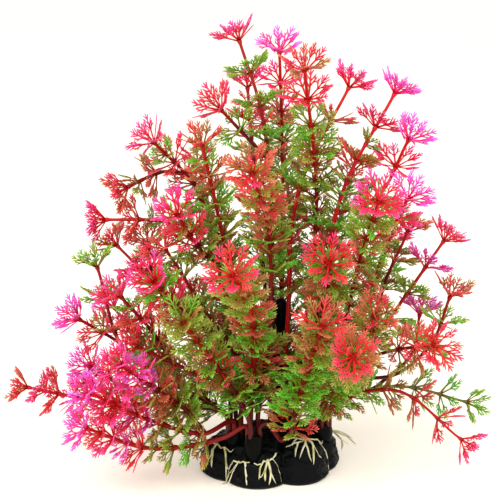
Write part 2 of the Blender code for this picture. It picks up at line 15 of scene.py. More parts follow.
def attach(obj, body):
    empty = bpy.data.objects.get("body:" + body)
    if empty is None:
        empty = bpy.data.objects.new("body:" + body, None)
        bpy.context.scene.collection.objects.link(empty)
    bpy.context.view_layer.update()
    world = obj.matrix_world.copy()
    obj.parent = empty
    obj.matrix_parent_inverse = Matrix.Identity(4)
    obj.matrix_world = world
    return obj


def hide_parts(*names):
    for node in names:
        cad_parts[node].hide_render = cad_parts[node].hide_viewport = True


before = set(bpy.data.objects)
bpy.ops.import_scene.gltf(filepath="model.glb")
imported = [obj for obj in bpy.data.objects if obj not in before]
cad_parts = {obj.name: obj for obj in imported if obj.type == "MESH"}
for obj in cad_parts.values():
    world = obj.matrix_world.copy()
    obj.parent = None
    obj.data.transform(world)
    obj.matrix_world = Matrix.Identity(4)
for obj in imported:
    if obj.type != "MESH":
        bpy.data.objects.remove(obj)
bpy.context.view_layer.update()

MM = 0.001
UP = np.array([0.0, 0.0, 1.0])
CHANCE = np.random.default_rng(7)

# The photograph's view
VIEW_TILT = math.radians(17.0)
VIEW_TARGET = np.array([-12.4, 0.0, 152.4])
VIEW_DISTANCE = 1000.0
VIEW_LENS = 112.5
VIEW_SENSOR = 36.0
VIEW_CLIP_START = 50.0
LIGHTS_AIM = (0, 0, 140)
FLOOR_HALF = 4000.0

# Rock, plugs and post, placed as in the solids. A plug has its centre, radius, top and ring of stems
ROCK_LOBES = (
    (-24, -1, 22, 25), (-8, -12, 23, 27), (20, -9, 20, 26),
    (33, 5, 14, 25), (-4, 9, 22, 28), (16, 9, 21, 28),
)
ROCK_FOOT_INSET = 0.94
ROCK_EDGE_HEIGHT = 4.0
ROCK_RIPPLE = 1.1
ROCK_RIPPLE_WAVES = (4.1, 3.7)
ROCK_LOAF_STEEPNESS = 3.2
ROCK_LOAF_ROUNDNESS = 0.55
PLUGS = {
    "plug_left": ((-22, -8), 7.2, 33.0, 4.9),
    "plug_front": ((-10, -25), 6.0, 36.0, 3.9),
    "plug_right": ((35, 4), 7.6, 32.0, 5.4),
}
PLUG_BOTTOM = 14.0
PLUG_NARROWING = 0.86
POST_PLACE = (8, 13)
POST_FOOT_TOP = 33.0
POST_FOOT_RADIUS = 8.6
POST_FOOT_NARROWING = 0.98
POST_SEAT_RING = 6.1
POST_SHAFT = ((2.7, 33.2), (2.2, 92.0), (4.2, 98.0), (4.6, 101.0), (4.3, 109.0), (3.6, 113.0), (1.9, 115.0))
POST_HEAD_HEIGHT = 106.0

# Stems and whorls, laid out as in the solids
SEAT_LIFT = 0.7
STEM_STUB = 4.0
PATH_STEPS = 14
HEADING_REACH = 1.5
BARE_STEP = 40.0
BARE_TURN_DEG = 65.0
BARE_SAMPLES = 60
FORK_GAP = 0.35
LEAST_FORK_SINE = 0.35
SIDE_GUIDE = (0.31, 0.87, -0.38)
STEM_FOOT_RADIUS = 1.5
SHOOT_FOOT_RADIUS = 1.15
STEM_TIP_RADIUS = 0.85
LEAF_REACH = 20.0

# Each sprig: its start, its way points, its whorls and their pitch, then the tones of its whorls,
# tip first: G bright green, g green, o olive, b brown, c coral, r red, k hot pink, m magenta
SPRIGS = {
    "crown_1": (("post", 244), ((2, 8, 110), (0, 2, 205), (-5, 8, 240), (-19, 22, 283)), 6, 22, "kggGgo"),
    "crown_2": (("post", 100), ((9, 36, 110), (9, 41, 198), (6, 9, 278)), 5, 23, "mkbgo"),
    "crown_3": (("post", 316), ((24, 10, 100), (30, 4, 180), (20, -42, 276)), 5, 22, "crogg"),
    "crown_4": (("post", 280), ((12, 4, 100), (20, 4, 196), (50, 18, 254)), 6, 24, "kcogog"),
    "crown_5": (("plug_right", 180), ((34, -4, 110), (46, -4, 192), (78, 8, 252)), 6, 24, "mkbgGo"),
    "crown_6": (("post", 136), ((-2, 32, 110), (-10, 45, 197), (-14, 58, 246)), 3, 22, "krg"),
    "crown_7": (("crown_1", 0.70), ((-16, 0, 228), (-30, -8, 245)), 2, 20, "rg"),
    "crown_8": (("plug_left", 40), ((-20, -8, 110), (-32, -22, 181), (-41, -34, 228)), 5, 21, "cbgog"),
    "crown_9": (("crown_5", 0.62), ((66, 8, 183), (86, -8, 226)), 2, 22, "mk"),
    "crown_10": (("plug_right", 225), ((46, -14, 100), (58, -30, 163), (64, -62, 201)), 5, 21, "kgogg"),
    "crown_11": (("plug_front", 50), ((-1, -32, 100), (-1, -42, 177), (-11, -77, 222)), 5, 22, "cbbgg"),
    "right_1": (("crown_5", 0.50), ((66, -6, 162), (85, -26, 193)), 2, 21, "mk"),
    "right_2": (("plug_right", 85), ((54, 26, 90), (76, 40, 135), (86, 46, 158)), 4, 22, "gobo"),
    "right_3": (("right_4", 0.45), ((74, 24, 112), (91, 28, 156)), 3, 21, "cbg"),
    "right_4": (("plug_right", 355), ((62, 13, 74), (91, 20, 116), (115, 30, 149)), 4, 21, "kmgg"),
    "right_5": (("right_4", 0.22), ((84, 8, 64), (107, 12, 84), (118, 10, 117)), 3, 20, "cgg"),
    "right_6": (("right_4", 0.33), ((80, -16, 90), (101, -52, 107)), 3, 20, "rcb"),
    "right_7": (("right_8", 0.42), ((97, 28, 72), (101, 30, 98)), 2, 19, "mr"),
    "right_8": (("plug_right", 40), ((60, 20, 46), (90, 31, 46), (136, 40, 31)), 4, 20, "GGgb"),
    "right_9": (("plug_right", 315), ((54, -6, 54), (80, -12, 61), (125, -18, 29)), 4, 21, "krcb"),
    "right_10": (("crown_10", 0.30), ((60, -34, 104), (63, -58, 127)), 2, 20, "cb"),
    "right_11": (("plug_right", 270), ((38, -22, 60), (47, -50, 88), (48, -98, 117)), 4, 21, "cbog"),
    "right_12": (("crown_5", 0.33), ((36, -26, 132), (35, -58, 162)), 2, 20, "ro"),
    "front_1": (
        ("plug_front", 350),
        ((-2, -27, 44), (3, -28, 39), (7, -31, 34), (12, -36, 39), (16, -46, 60), (30, -84, 130)),
        5, 21, "coGGG",
    ),
    "front_2": (("plug_front", 120), ((-10, -38, 88), (-11, -62, 130), (-22, -98, 167)), 5, 22, "robbg"),
    "front_3": (("plug_front", 240), ((-17, -34, 58), (-30, -42, 84), (-52, -74, 129)), 4, 22, "oggG"),
    "front_4": (("plug_left", 310), ((-16, -16, 73), (-41, -20, 118), (-65, -26, 161)), 5, 23, "cbgog"),
    "left_1": (("crown_8", 0.55), ((-42, -22, 158), (-56, -42, 187)), 2, 21, "kr"),
    "left_2": (("plug_left", 130), ((-30, 8, 120), (-47, 14, 190), (-72, -6, 224)), 5, 22, "krcgo"),
    "left_3": (("left_2", 0.80), ((-68, 16, 200), (-90, 8, 192)), 2, 21, "cbo"),
    "left_4": (("left_2", 0.60), ((-72, 4, 171), (-104, 2, 172)), 3, 21, "kcg"),
    "left_7": (("plug_left", 217), ((-56, -8, 60), (-92, -14, 88), (-109, -14, 145)), 4, 22, "ggbo"),
    "left_9": (("left_7", 0.28), ((-72, -28, 104), (-92, -40, 134)), 3, 21, "krr"),
    "left_10": (("front_4", 0.48), ((-54, -36, 124), (-70, -56, 149)), 2, 20, "kr"),
    "left_11": (("left_7", 0.42), ((-100, 2, 90), (-122, -8, 108)), 2, 20, "mr"),
    "left_12": (("back_4", 0.55), ((-76, 34, 118), (-79, 26, 148)), 2, 20, "cr"),
    "left_13": (("front_4", 0.20), ((-54, -32, 84), (-82, -42, 102)), 2, 20, "rb"),
    "left_14": (("left_16", 0.25), ((-54, -32, 56), (-66, -42, 70), (-90, -66, 98)), 3, 19, "kkb"),
    "left_15": (("plug_left", 175), ((-58, 8, 42), (-102, 10, 42), (-160, 12, 53)), 4, 21, "crrb"),
    "left_16": (("plug_left", 262), ((-42, -30, 38), (-76, -36, 50), (-109, -64, 79)), 4, 21, "mkrb"),
    "left_17": (
        ("plug_front", 183), ((-28, -28, 35), (-46, -31, 31), (-77, -39, 32), (-114, -56, 53)),
        4, 21, "mkro",
    ),
    "left_18": (("left_15", 0.55), ((-106, 20, 56), (-117, 10, 68)), 2, 18, "mk"),
    "back_1": (("post", 64), ((14, 42, 100), (14, 62, 165), (8, 86, 215)), 4, 25, "kgbg"),
    "back_2": (("post", 208), ((-14, 36, 100), (-36, 58, 150), (-48, 80, 190)), 4, 25, "cgob"),
    "back_3": (("post", 352), ((32, 38, 90), (44, 56, 140), (58, 78, 185)), 3, 25, "cgg"),
    "back_4": (("plug_left", 85), ((-42, 24, 75), (-72, 44, 110), (-102, 56, 138)), 3, 22, "crg"),
    "back_5": (("plug_right", 130), ((50, 44, 70), (70, 66, 95), (84, 88, 130)), 3, 23, "kgo"),
    "back_6": (("post", 172), ((-20, 48, 50), (-36, 78, 62), (-50, 104, 82)), 3, 22, "rbg"),
    "back_7": (("post", 28), ((26, 48, 48), (34, 80, 58), (42, 106, 78)), 3, 22, "cgg"),
    "back_8": (("left_15", 0.20), ((-62, 34, 50), (-84, 58, 60), (-108, 84, 84)), 3, 22, "mkr"),
}

# Root tufts, as in the solids: where each grows, its lift above the rock, how steeply its fingers
# fall, then their bearings in degrees and lengths
ROOT_TUFTS = {
    "roots_left": ((-34, -11), 1.7, 1.7, ((140, 9), (215, 5), (318, 11))),
    "roots_front": ((-19.5, -28), 1.7, 1.7, ((150, 9), (184, 6), (325, 5))),
    "roots_middle": ((-1, -29.5), 1.7, 1.7, ((205, 6), (248, 4), (300, 5), (20, 6))),
    "roots_right": ((24, -12), 1.7, 1.7, ((22, 13), (150, 9), (196, 10), (230, 11), (265, 10), (300, 10))),
    "roots_side": ((42, 12), 6.0, 0.45, ((320, 13), (355, 14), (35, 11))),
}

# How the rock, the plugs and the post are drawn: rings, lumps and rounded rims
ROCK_AROUND = 260
ROCK_RINGS = 64
ROCK_SEED = 3
ROCK_BULGE = 0.985
ROCK_BULGE_HEIGHT = 0.4
ROCK_MIDDLE = 0.02
GRAIN_SIZES = (9.0, 9.0, 6.0, 6.0, 4.0, 4.0, 2.6, 2.6, 2.6)
GRAIN_WEAKENING = 26.0
GRAIN_LAST_PHASE = 6.28
LUMP_RISE = 1.1
LUMP_RISE_FULL = 8.0
LUMP_PUSH = 0.02
LUMP_PUSH_FULL = 3.0
LATHE_SIDES = 40
RIM_EDGE = 1.2
RIM_POINTS = 7
SHOULDER_DEPTH = 6.0
NECK_DEPTH = 3.5

# The tone of a leaf or stem runs from 0, green, to 1, magenta. TONE_SPREAD is how far the leaves of
# a whorl stray from its own tone
TONES = {"G": 0.03, "g": 0.13, "o": 0.26, "b": 0.40, "c": 0.54, "r": 0.66, "k": 0.82, "m": 0.94}
INNER_TONES = {"crown": "gobgcb", "right": "gGgobc", "front": "gGoGbc", "left": "gobGgoc", "back": "gGob"}
TONE_SPREAD = {"G": 0.1, "g": 0.12, "o": 0.18, "b": 0.2, "c": 0.18, "r": 0.1, "k": 0.06, "m": 0.06}
LOW_LEFT = ("left_14", "left_15", "left_16", "left_17", "left_18")
LOW_LEFT_TONES = "rkmmkmk"
LOW_LEFT_EDGE = -72.0
SPARSE = ("right_8", "right_9")
GREENISH_BELOW = 0.48
MAGENTA_ABOVE = 0.88
BROWN_STALK, RED_STALK, PINK_STALK = 0.40, 0.62, 0.78
STALK_SHARE = 0.1
GREENISH_MIX, REDDISH_MIX = 0.45, 0.75

# Whorls: how many leaves, how cupped, and how their leaves stray
OPEN_TIPS = (
    "crown_10", "crown_11", "front_1", "front_2", "front_3", "front_4", "right_6", "right_11", "right_12",
)
TIP_CUP = 36.0
OPEN_TIP_CUP = 22.0
OPEN_TIP_LENGTH = 1.06
WHORL_CUP = 24.0
LEAVES_A_WHORL = 10
FEWER_WHEN_SPARSE = 3
BUD_LEAVES = 2
BUD_LENGTH = 0.72
BUD_CUP = 68.0
BUD_LIFT = 0.5
WHORL_TILT = 0.26
STEP_JITTER = 0.16
LEAF_LENGTHS = (0.9, 1.04)
CUP_JITTER_DEG = 9
CURLS_DEG = (-8, 22)
ROLL_JITTER_DEG = 38
LEAN_JITTER = 0.12
OWN_SIZES = (0.95, 1.05)
BELOW_SIZES = (0.75, 1.05)
BETWEEN_SIZES = (0.6, 0.9)

# Where the added inner whorls may stand
INNER_LOWEST = 37.0
FRONT_LOWEST = 46.0
FRONT_EDGE = -20.0
ROCK_TOP = 24.0
OUTER_LOWEST = 27.0
ROCK_HALF = (52.0, 42.0)
CORE_MIDDLE = -8.0
CORE_HALF = 78.0
CORE_TOP = 235.0
INNER_FIRST = 12.0
INNER_PITCH = 0.55
INNER_JITTER = 2.0
POST_HEAD_BESIDE = 17.0
POST_HEAD_ABOVE = 15.0

# A leaf: joints are shares of a length and a width. A tine has its place on the rib, heading, length
# and number of stubs, a stub its share of the way along the tine and how it turns from it
RIB_JOINTS = ((0.0, 1.0), (0.4, 0.95), (0.8, 0.8), (0.95, 0.65), (1.0, 0.0))
TINE_JOINTS = ((0.0, 1.0), (0.8, 0.85), (1.0, 0.0))
TINES = ((8.0, 34, 7.8, 2), (11.6, 33, 6.2, 0), (15.0, 31, 4.2, 0))
TINE_PLACE_JITTER = 0.9
TINE_HEADING_JITTER = 6
TINE_LENGTHS = (0.85, 1.1)
STUBS = ((0.4, 1.0), (0.62, -0.9))
STUB_TURN_DEG = 32
STUB_LENGTH = 0.42
STUB_WIDTH = 0.9
LEAF_KINDS = 4
LEAST_CURL = 0.02
LEAF_FLOOR = 0.8
STALK_WIDTH = 1.3
TINE_WIDTH = 0.95
LEAF_RIDGE = 0.5
LEAF_UNDERSIDE = 0.2

# Stems: the collar at a whorl, and the dome at the end as places past it with shares of the radius
STEM_SUNK = 3.0
COLLAR_RISE = 0.75
COLLAR_SPREAD = 1.5
STEM_DOME = ((0.45, 0.85), (0.8, 0.5), (1.05, 0.2))
STEM_DOME_POLE = 0.1
STEM_FULLNESS = 1.12
THIN_FULLNESS = 0.9
STEM_TONE = 0.24
STEM_TONE_RISE = 0.42
BRIGHT_STEMS = {
    "crown_2": 0.15, "crown_3": 0.12, "crown_4": 0.45, "crown_5": 0.4, "crown_9": 0.3, "crown_8": 0.1,
    "right_1": 0.3, "right_4": 0.15, "right_9": 0.2, "left_4": 0.2, "left_15": 0.15, "left_16": 0.2,
    "left_17": 0.2, "front_2": 0.1,
}
OLIVE_STEMS = ("right_8",)
OLIVE_TONE = 0.06
OLIVE_TONE_FALL = 0.1
STEM_SIDES = 10
STEM_RING_STEP = 2.2
FEWEST_STEM_RINGS = 8

# Roots
ROOT_WIDTH = 1.7
ROOT_THICKNESS = 0.6
RIBBON_TOP = 0.9
RIBBON_BOTTOM = 0.3
RIBBON_ENDS = (0.3, 0.6)
ROOT_LIFT = 0.5
ROOT_FLOOR = 0.3
ROOT_POINTS = 14
ROOT_PAST_TIP = 3.0
ROOT_SWING_DEG = 14
ROOT_FORK = 0.5
ROOT_FORK_JITTER = 0.1
ROOT_PRONG_DEG = 17.0
ROOT_PRONG_LENGTHS = (0.8, 1.0)
ROOT_ARCH = 1.2
ROOT_ARCHES = (0.5, 1.2)
ROOT_PRONG_WIDTH = 0.85
ROOT_TIP_START = 1.06
ROOT_TIP_TAPER = 6.0
ROOT_TIP_WIDTH = 0.4
RAY_START = 90.0

# Leaf colours over the tone, green to magenta. A layer has where it shows along the leaf, from black
# for nowhere to white for wholly, and its own colours: the dark stalk's and the pale tip's. The pale
# tip's are the leaves' paler tint there, made lighter still as a painted highlight
LEAF_COLOURS = (
    (0.00, "#4cb812"), (0.12, "#64a612"), (0.25, "#868e16"), (0.38, "#9a5a18"), (0.50, "#c84c32"),
    (0.62, "#e02620"), (0.74, "#f41844"), (0.85, "#ff2c8c"), (0.94, "#f93cc8"), (1.00, "#f470e6"),
)
LEAF_LAYERS = (
    (((0.0, "#ffffff"), (0.24, "#000000")), (
        (0.10, "#6c1408"), (0.45, "#860c08"), (0.62, "#b80a0c"), (0.80, "#e80c28"), (0.95, "#f81c80"),
    )),
    # The pale tip's colours: the leaves' own paler tint, made lighter still as a painted highlight
    (((0.45, "#000000"), (1.0, "#e0e0e0")), (
        (0.00, "#8cd850"), (0.12, "#a6d054"), (0.25, "#c2c262"), (0.38, "#d09a62"), (0.50, "#f2846c"),
        (0.62, "#fb6068"), (0.74, "#ff5090"), (0.85, "#ff70c8"), (0.94, "#fb84ea"), (1.00, "#f8a0f4"),
    )),
)
LEAF_BLOTCH = 0.12
STEM_BLOTCH = 0.16

# Sockets of the node that mixes colours, which has several of each name
MIX_FACTOR, MIX_UNDER, MIX_OVER, MIX_RESULT = 0, 6, 7, 2


def unit(vector):
    """The vector scaled to length one."""
    return vector / np.linalg.norm(vector)


def bearing(degrees):
    """A level unit vector, 0 degrees along +X and 90 along +Y."""
    angle = math.radians(degrees)
    return np.array([math.cos(angle), math.sin(angle), 0.0])


def linear(hex_colour):
    """An sRGB hex colour as linear red, green, blue and alpha."""
    parts = np.array([int(hex_colour[i:i + 2], 16) for i in (1, 3, 5)]) / 255.0
    bent = np.where(parts <= 0.04045, parts / 12.92, ((parts + 0.055) / 1.055) ** 2.4)
    return (*(float(part) for part in bent), 1.0)


def connect(tree, made, inputs):
    """Gives each input of a node, by its name or number, its value or its link."""
    for key, value in inputs.items():
        socket = made.inputs[key]
        if isinstance(value, bpy.types.NodeSocket):
            tree.links.new(value, socket)
        else:
            socket.default_value = value


def node(tree, kind, output, inputs, stops=(), **settings):
    """Adds a node with its settings and its inputs' values or links, and returns one output.

    The stops are a colour ramp's, pairs of a place and a hex colour.
    """
    made = tree.nodes.new(kind)
    for key, value in settings.items():
        setattr(made, key, value)
    for _ in stops[2:]:
        made.color_ramp.elements.new(0.5)
    for index, (place, colour) in enumerate(stops):
        made.color_ramp.elements[index].position = place
        made.color_ramp.elements[index].color = linear(colour)
    connect(tree, made, inputs)
    return made.outputs[output]


def new_material(name, *patterns):
    """A material with its tree, its shader, and a noise on Object coordinates for each pattern.

    A pattern is the size of its lumps in millimetres, its detail and its roughness.
    """
    made = bpy.data.materials.new(name)
    made.use_nodes = True
    tree = made.node_tree
    coordinates = node(tree, "ShaderNodeTexCoord", "Object", {})
    noises = []
    for size, detail, roughness in patterns:
        inputs = {"Vector": coordinates, "Scale": 1.0 / (size * MM), "Detail": detail, "Roughness": roughness}
        noises.append(node(tree, "ShaderNodeTexNoise", "Fac", inputs))
    return made, tree, tree.nodes["Principled BSDF"], *noises


def add_piece(name, points, faces, finish, replaced, attributes=None):
    """One mesh piece from points in millimetres and arrays of faces with equal corner counts."""
    mesh = bpy.data.meshes.new(name)
    corners = np.concatenate([np.asarray(part).ravel() for part in faces])
    sizes = np.concatenate([np.full(len(part), np.asarray(part).shape[1]) for part in faces])
    mesh.vertices.add(len(points))
    mesh.vertices.foreach_set("co", (np.asarray(points) * MM).astype(np.float32).ravel())
    mesh.loops.add(len(corners))
    mesh.loops.foreach_set("vertex_index", corners.astype(np.int32))
    mesh.polygons.add(len(sizes))
    mesh.polygons.foreach_set("loop_start", (np.cumsum(sizes) - sizes).astype(np.int32))
    mesh.polygons.foreach_set("use_smooth", np.full(len(sizes), True))
    for key, values in (attributes or {}).items():
        mesh.attributes.new(key, "FLOAT", "POINT").data.foreach_set("value", values.astype(np.float32))
    mesh.update(calc_edges=True)
    mesh.validate()
    mesh.materials.append(finish)
    piece = bpy.data.objects.new(name, mesh)
    bpy.context.scene.collection.objects.link(piece)
    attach(piece, "root")
    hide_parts(replaced)


def ring_faces(rings, around):
    """Quads between rings of points that lie one after another, each ring closed on itself."""
    ring, step = np.meshgrid(np.arange(rings - 1), np.arange(around), indexing="ij")
    low = ring * around + step
    low_next = ring * around + (step + 1) % around
    return np.stack([low, low_next, low_next + around, low + around], axis=-1).reshape(-1, 4)


def pole_faces(ring_start, around, pole, is_end):
    """Triangles from one ring to a pole, wound to close its start or its end."""
    step = np.arange(around)
    here, after = ring_start + step, ring_start + (step + 1) % around
    poles = np.full(around, pole)
    return np.stack([here, after, poles] if is_end else [after, here, poles], axis=-1)


def closed_rings(rings, start_pole, end_pole):
    """Points and faces of a tube of rings, an array rings x around x 3, closed by two poles."""
    count, around, _ = rings.shape
    points = np.vstack([rings.reshape(-1, 3), start_pole, end_pole])
    tail = count * around
    faces = [
        ring_faces(count, around),
        np.vstack([pole_faces(0, around, tail, False), pole_faces(tail - around, around, tail + 1, True)]),
    ]
    return points, faces


def joined(pieces):
    """Several shapes with quads and triangles as one."""
    points, quads, triangles = [], [], []
    count = 0
    for part_points, (part_quads, part_triangles) in pieces:
        points.append(part_points)
        quads.append(part_quads + count)
        triangles.append(part_triangles + count)
        count += len(part_points)
    return np.vstack(points), [np.vstack(quads), np.vstack(triangles)]


# The stems' layout, the same as in the solids
def smooth_path(knots):
    """Points along a curve through the knots, with the distance along it.

    Each stretch is a cubic. Its slope at a knot is the mean of the straight runs on both sides,
    where the shorter run counts for more, so that a short stub before a long run stays straight.
    """
    runs = [after - before for before, after in zip(knots, knots[1:])]
    lengths = [float(np.linalg.norm(run)) for run in runs]
    slopes = [runs[0] / lengths[0]]
    for i in range(1, len(runs)):
        near, far = lengths[i - 1], lengths[i]
        slopes.append((runs[i - 1] / near * far + runs[i] / far * near) / (near + far))
    slopes.append(runs[-1] / lengths[-1])
    share = np.linspace(0.0, 1.0, PATH_STEPS, endpoint=False)[:, None]
    stretches = []
    for start, run, length, first, last in zip(knots, runs, lengths, slopes, slopes[1:]):
        first, last = first * length, last * length
        stretches.append(start + first * share + (3 * run - 2 * first - last) * share ** 2
                         + (first + last - 2 * run) * share ** 3)
    line = np.vstack([*stretches, knots[-1][None, :]])
    return line, np.concatenate([[0.0], np.cumsum(np.linalg.norm(np.diff(line, axis=0), axis=1))])


def at_distance(path, distance):
    """The place on a path at that distance from its foot, and the direction there."""
    line, along = path
    near, place, far = (
        np.array([np.interp(distance + shift, along, line[:, axis]) for axis in range(3)])
        for shift in (-HEADING_REACH, 0.0, HEADING_REACH)
    )
    return place, unit(far - near)


def whorl_distances(path, count, pitch):
    """Distances of a sprig's whorls from its foot, the last one at its tip."""
    return [path[1][-1] - pitch * (count - 1 - index) for index in range(count)]


def stations(path, count, pitch):
    """Distances where the solid stem has a ring or a whorl: its foot, its bare length, its whorls."""
    whorls = whorl_distances(path, count, pitch)
    places = np.linspace(0.0, whorls[0], BARE_SAMPLES)
    headings = [at_distance(path, place)[1] for place in places]
    turns = [math.degrees(math.acos(min(float(a @ b), 1.0))) for a, b in zip(headings, headings[1:])]
    used = np.diff(places) / BARE_STEP + np.array(turns) / BARE_TURN_DEG
    used = np.concatenate([[0.0], np.cumsum(used)])
    steps = max(1, math.ceil(used[-1]))
    return [float(np.interp(used[-1] * step / steps, used, places)) for step in range(steps)] + whorls


def chord_point(path, distances, distance):
    """The place and direction at a distance on the straight runs between a stem's stations."""
    later = next(i for i, station in enumerate(distances) if station >= distance)
    start = at_distance(path, distances[later - 1])[0]
    end = at_distance(path, distances[later])[0]
    share = (distance - distances[later - 1]) / (distances[later] - distances[later - 1])
    return start + (end - start) * share, unit(end - start)


def fork_distance(path, count, pitch, share):
    """A fork's distance along its parent: kept on the bare part, else midway between whorls."""
    wanted = share * path[1][-1]
    middles = [distance - pitch / 2 for distance in whorl_distances(path, count, pitch)]
    if wanted < middles[0]:
        return wanted
    return min(middles, key=lambda middle: abs(middle - wanted))


def stem_radius(path, distance, thick):
    """A stem tapers evenly from its foot to its tip."""
    share = np.clip(distance / path[1][-1], 0.0, 1.0)
    return thick + (STEM_TIP_RADIUS - thick) * share


def seat_point(seat, angle):
    """Where a stem stands on the ring of a plug, or on the post's foot."""
    if seat == "post":
        centre, ring, top = POST_PLACE, POST_SEAT_RING, POST_FOOT_TOP
    else:
        centre, _, top, ring = PLUGS[seat]
    return np.array([centre[0], centre[1], top + SEAT_LIFT]) + bearing(angle) * ring


def lay_out_paths():
    """The path and foot radius of every sprig. A fork starts just off its parent's side.

    The third value is where the drawn stem starts: inside its plug, or on its parent's middle.
    """
    paths = {}
    waiting = dict(SPRIGS)
    while waiting:
        for name in [sprig for sprig in waiting if waiting[sprig][0][0] in (*PLUGS, "post", *paths)]:
            (start, where), way, *_ = waiting.pop(name)
            knots = [np.array(point, float) for point in way]
            if start in paths:
                parent, parent_thick, _ = paths[start]
                count, pitch = SPRIGS[start][2:4]
                distance = fork_distance(parent, count, pitch, where)
                middle, direction = chord_point(parent, stations(parent, count, pitch), distance)
                leaving = unit(knots[0] - middle)
                slant = abs(float(leaving @ direction))
                sine = max(math.sqrt(1.0 - slant ** 2), LEAST_FORK_SINE)
                clear = stem_radius(parent, distance, parent_thick) + FORK_GAP
                foot = middle + leaving * (clear + SHOOT_FOOT_RADIUS * slant) / sine
                thick = SHOOT_FOOT_RADIUS
                root = at_distance(parent, distance)[0]
            else:
                foot = seat_point(start, where)
                knots.insert(0, foot + UP * STEM_STUB)
                thick = STEM_FOOT_RADIUS
                root = foot - UP * STEM_SUNK
            paths[name] = (smooth_path([foot, *knots]), thick, root)
    return paths


def carried_sides(path, distances):
    """A sideways unit vector at each distance, carried along the stem without twisting."""
    _, direction = at_distance(path, distances[0])
    side = unit(np.cross(direction, SIDE_GUIDE))
    sides = []
    for distance in distances:
        _, direction = at_distance(path, distance)
        side = unit(side - direction * float(side @ direction))
        sides.append(side)
    return np.array(sides)


# Stems
def stem_surface(path, thick, root, whorls, fullness):
    """A tapering tube along the path, with a collar at every whorl and a rounded tip.

    Its radius is the even taper, plus a bell-shaped collar of the whorl's size at each whorl. The
    first ring stands back at the stem's root, inside its plug or its parent, and the last ones
    close like a dome. The last value returned is each point's share of the way along the stem.
    """
    length = path[1][-1]
    distances = np.linspace(0.0, length, max(int(length / STEM_RING_STEP), FEWEST_STEM_RINGS))
    found = [at_distance(path, distance) for distance in distances]
    places, directions = (np.array(part) for part in zip(*found))
    sides = carried_sides(path, distances)
    radii = fullness * stem_radius(path, distances, thick)
    for distance, size in whorls:
        radii = radii + COLLAR_RISE * size * np.exp(-((distances - distance) / COLLAR_SPREAD) ** 2)
    past, narrowed = np.array(STEM_DOME).T
    extra = len(past)
    places = np.vstack([root, places, places[-1] + np.outer(past, directions[-1])])
    directions = np.vstack([unit(places[1] - root), directions, np.repeat(directions[-1:], extra, axis=0)])
    sides = np.vstack([sides[:1], sides, np.repeat(sides[-1:], extra, axis=0)])
    radii = np.concatenate([radii[:1], radii, radii[-1] * narrowed])
    others = np.cross(directions, sides)
    angles = (np.arange(STEM_SIDES) * 2 * math.pi / STEM_SIDES)[None, :, None]
    spread = np.cos(angles) * sides[:, None] + np.sin(angles) * others[:, None]
    rings = places[:, None] + radii[:, None, None] * spread
    along = np.concatenate([[0.0], distances, [length] * extra]) / length
    points, faces = closed_rings(rings, places[0], places[-1] + STEM_DOME_POLE * directions[-1])
    return points, faces, np.concatenate([np.repeat(along, STEM_SIDES), [0.0, 1.0]])


# Leaves
def spike(start, heading, length, width, joints):
    """A flat ridged tine in the leaf's plane: points (along, across, up) and faces.

    At each joint, a share of the length with a share of the width, stands a low triangle: left,
    right, ridge. The last joint is the tine's point.
    """
    angle = math.radians(heading)
    forward = np.array([math.cos(angle), math.sin(angle)])
    across = np.array([-forward[1], forward[0]])
    points = []
    for share, wide in joints[:-1]:
        middle = np.array(start) + forward * length * share
        half = width / 2 * wide
        under = -LEAF_UNDERSIDE * wide
        points += [(*(middle + across * half), under), (*(middle - across * half), under)]
        points.append((*middle, LEAF_RIDGE * wide))
    points.append((*(np.array(start) + forward * length), 0.0))
    last = 3 * (len(joints) - 2)
    ends = np.array([(1, 0, 3), (2, 1, 3), (0, 2, 3)]) + last
    return np.array(points), (ring_faces(len(joints) - 1, 3)[:, ::-1], np.vstack([ends, [(0, 1, 2)]]))


def leaf_template():
    """One leaf of LEAF_REACH: a rib with three pairs of side tines, the lowest with two stubs each."""
    parts = [spike((0.0, 0.0), 0.0, LEAF_REACH, STALK_WIDTH, RIB_JOINTS)]
    for side in (-1, 1):
        for at, heading, length, stubs in TINES:
            at = at + CHANCE.uniform(-TINE_PLACE_JITTER, TINE_PLACE_JITTER)
            heading = heading + CHANCE.uniform(-TINE_HEADING_JITTER, TINE_HEADING_JITTER)
            length = length * CHANCE.uniform(*TINE_LENGTHS)
            turn = math.radians(heading)
            parts.append(spike((at, 0.0), side * heading, length, TINE_WIDTH, TINE_JOINTS))
            for share, outward in STUBS[:stubs]:
                middle = (at + length * share * math.cos(turn), side * length * share * math.sin(turn))
                aim = side * (heading + outward * STUB_TURN_DEG)
                parts.append(spike(middle, aim, length * STUB_LENGTH, TINE_WIDTH * STUB_WIDTH, TINE_JOINTS))
    return joined(parts)


